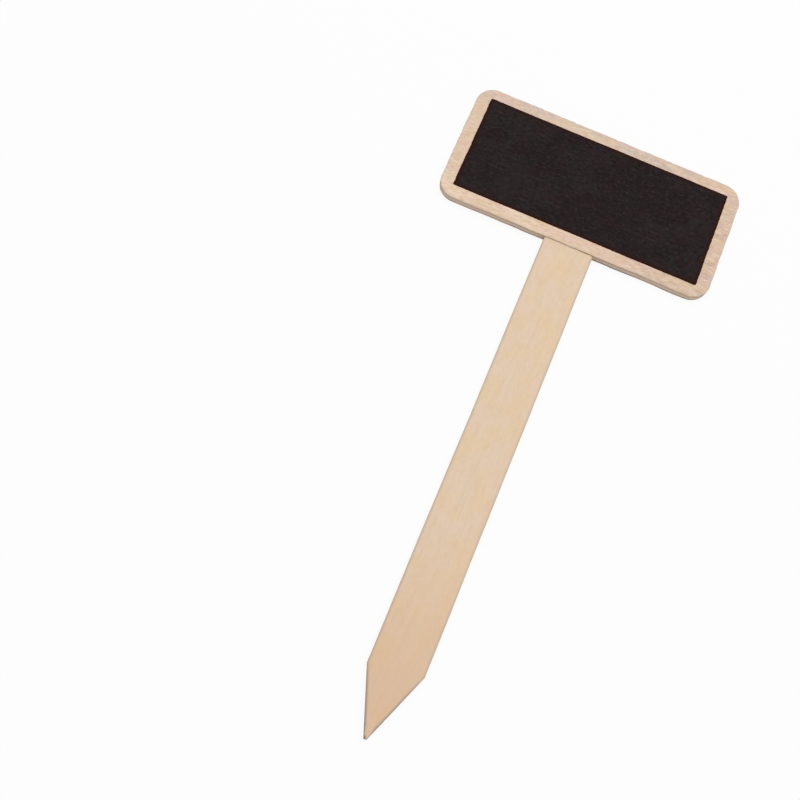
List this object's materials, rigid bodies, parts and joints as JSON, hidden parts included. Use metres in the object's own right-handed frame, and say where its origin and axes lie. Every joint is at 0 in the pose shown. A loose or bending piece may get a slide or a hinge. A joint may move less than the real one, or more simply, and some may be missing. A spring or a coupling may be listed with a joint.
{
  "type": "plant label stake",
  "caption": "Wooden garden label: a rounded rectangular head with a black writing panel, on a flat pointed stake.",
  "frame": {"origin": "on the surface that the label lies on, at the middle of its outline seen from the front", "axes": "+X to the right along the head seen from the front, +Y from the point to the head, +Z out of the writing face"},
  "size_m": [0.1, 0.222, 0.0034],
  "materials": {
    "head_wood": "matte",
    "core_wood": "matte",
    "stake_wood": "matte",
    "dried_glue": "matte",
    "blackboard_paint": "matte"
  },
  "bodies": {
    "root": {"back_veneer": "head_wood", "back_glue": "dried_glue", "slotted_core": "core_wood", "stake": "stake_wood", "face_glue": "dried_glue", "face_veneer": "head_wood", "chalkboard_panel": "blackboard_paint"}
  },
  "joints": []
}
